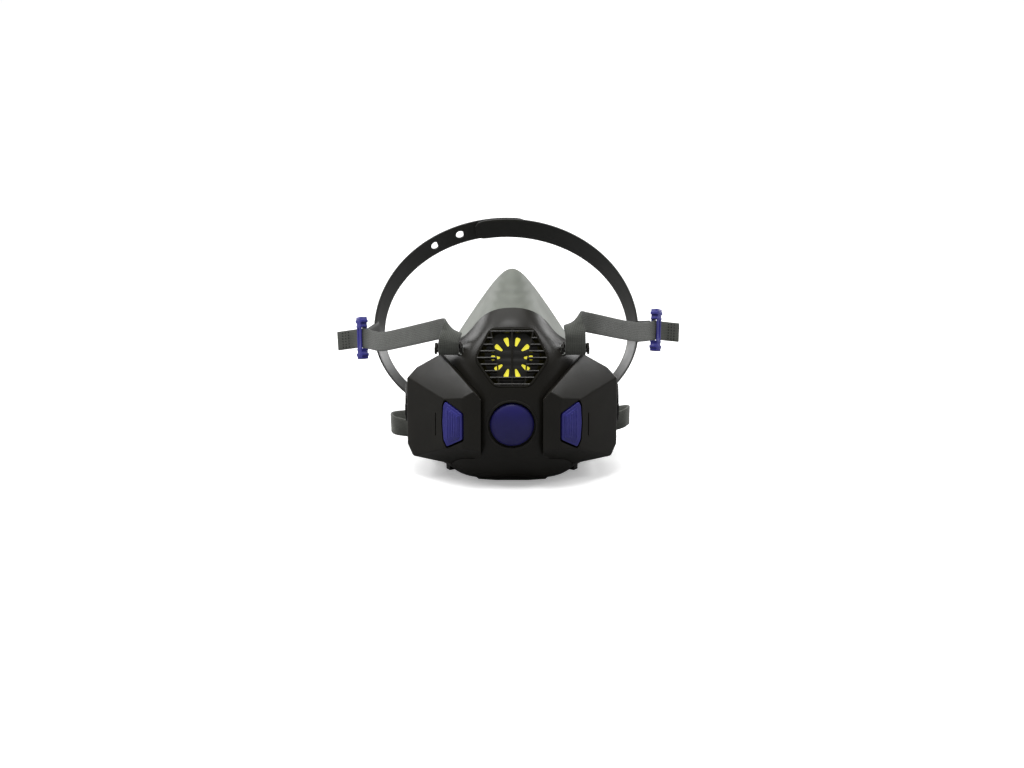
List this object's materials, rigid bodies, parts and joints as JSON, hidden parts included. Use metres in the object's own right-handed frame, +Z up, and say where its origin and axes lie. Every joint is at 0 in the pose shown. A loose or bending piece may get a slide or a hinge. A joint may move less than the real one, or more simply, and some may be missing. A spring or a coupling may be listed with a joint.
{
  "type": "half mask respirator",
  "caption": "Reusable half-mask respirator with a speaking grille, seal-check button, cartridge sockets, silicone facepiece and strapped head cradle.",
  "frame": {"origin": "on the flat underside of the chin's exhaust cover, where the mask stands", "axes": "+Z up, the mask faces -Y, +X is the wearer's left"},
  "size_m": [0.2303, 0.2036, 0.1295],
  "materials": {
    "plastic": "satin moulded plastic",
    "blue": "moulded blue plastic",
    "button_blue": "moulded dark blue plastic",
    "yellow": "thin moulded film",
    "silicone": "satin silicone",
    "webbing": "woven elastic webbing",
    "rubber": "soft moulded rubber",
    "steel": "spring wire"
  },
  "bodies": {
    "mask": {"diaphragm_ring": "plastic", "diaphragm_spider": "plastic", "exhalation_flap": "rubber", "exhalation_valve_seat": "plastic", "exhaust_cover": "plastic", "facepiece": "silicone", "front_shell": "plastic", "inner_frame": "plastic", "left_lower_inhale_flap": "rubber", "left_neck_lug": "plastic", "left_neck_strap": "webbing", "left_port_gasket": "rubber", "left_release_spring": "steel", "left_socket": "plastic", "left_upper_inhale_flap": "rubber", "left_upper_lug": "plastic", "left_wing_back": "plastic", "left_wing_shell": "plastic", "neck_clip_hook": "plastic", "neck_clip_loop": "plastic", "right_lower_inhale_flap": "rubber", "right_neck_lug": "plastic", "right_neck_strap": "webbing", "right_port_gasket": "rubber", "right_release_spring": "steel", "right_socket": "plastic", "right_upper_inhale_flap": "rubber", "right_upper_lug": "plastic", "right_wing_back": "plastic", "right_wing_shell": "plastic", "seal_check_guide": "plastic", "seal_check_spring": "steel", "speaking_diaphragm": "yellow", "speech_grille": "plastic"},
    "seal_check": {"seal_check_button": "button_blue", "seal_check_stem": "plastic", "seal_check_shutter": "plastic"},
    "left_release": {"left_release_button": "blue"},
    "right_release": {"right_release_button": "blue"},
    "left_latch_bar": {"left_latch": "plastic"},
    "right_latch_bar": {"right_latch": "plastic"},
    "harness": {"head_cradle": "plastic", "left_upper_strap": "webbing", "right_upper_strap": "webbing"},
    "left_buckle_body": {"left_buckle": "blue"},
    "right_buckle_body": {"right_buckle": "blue"}
  },
  "joints": [
    {"name": "seal_check_press", "type": "slide", "parent": "mask", "child": "seal_check", "axis": [0, 1, 0], "range_m": [0, 0.0045], "stiffness_N_per_m": 300, "springref_m": -0.003, "deforming": ["seal_check_spring"]},
    {"name": "left_release_press", "type": "slide", "parent": "mask", "child": "left_release", "axis": [-0.5547, 0.8321, 0], "range_m": [0, 0.0025], "stiffness_N_per_m": 500, "springref_m": -0.002, "deforming": ["left_release_spring"]},
    {"name": "left_latch_slide", "type": "slide", "parent": "mask", "child": "left_latch_bar", "axis": [-1, 0, 0], "range_m": [0, 0.002]},
    {"name": "right_release_press", "type": "slide", "parent": "mask", "child": "right_release", "axis": [0.5547, 0.8321, 0], "range_m": [0, 0.0025], "stiffness_N_per_m": 500, "springref_m": -0.002, "deforming": ["right_release_spring"]},
    {"name": "right_latch_slide", "type": "slide", "parent": "mask", "child": "right_latch_bar", "axis": [1, 0, 0], "range_m": [0, 0.002]},
    {"name": "harness_swing", "type": "hinge", "parent": "mask", "child": "harness", "pos_m": [0, -0.025, 0.084], "axis": [1, 0, 0], "range_deg": [0, 95]},
    {"name": "left_buckle_tilt", "type": "hinge", "parent": "harness", "child": "left_buckle_body", "pos_m": [0.096, 0.105, 0.0625], "axis": [-0.039, -0.3497, -0.936], "range_deg": [0, 10]},
    {"name": "right_buckle_tilt", "type": "hinge", "parent": "harness", "child": "right_buckle_body", "pos_m": [-0.1, 0.105, 0.057], "axis": [-0.0407, 0.3464, 0.9372], "range_deg": [0, 10]}
  ],
  "couplings": [
    {"joint": "left_latch_slide", "follows": "left_release_press", "ratio": 0.8},
    {"joint": "right_latch_slide", "follows": "right_release_press", "ratio": 0.8}
  ]
}
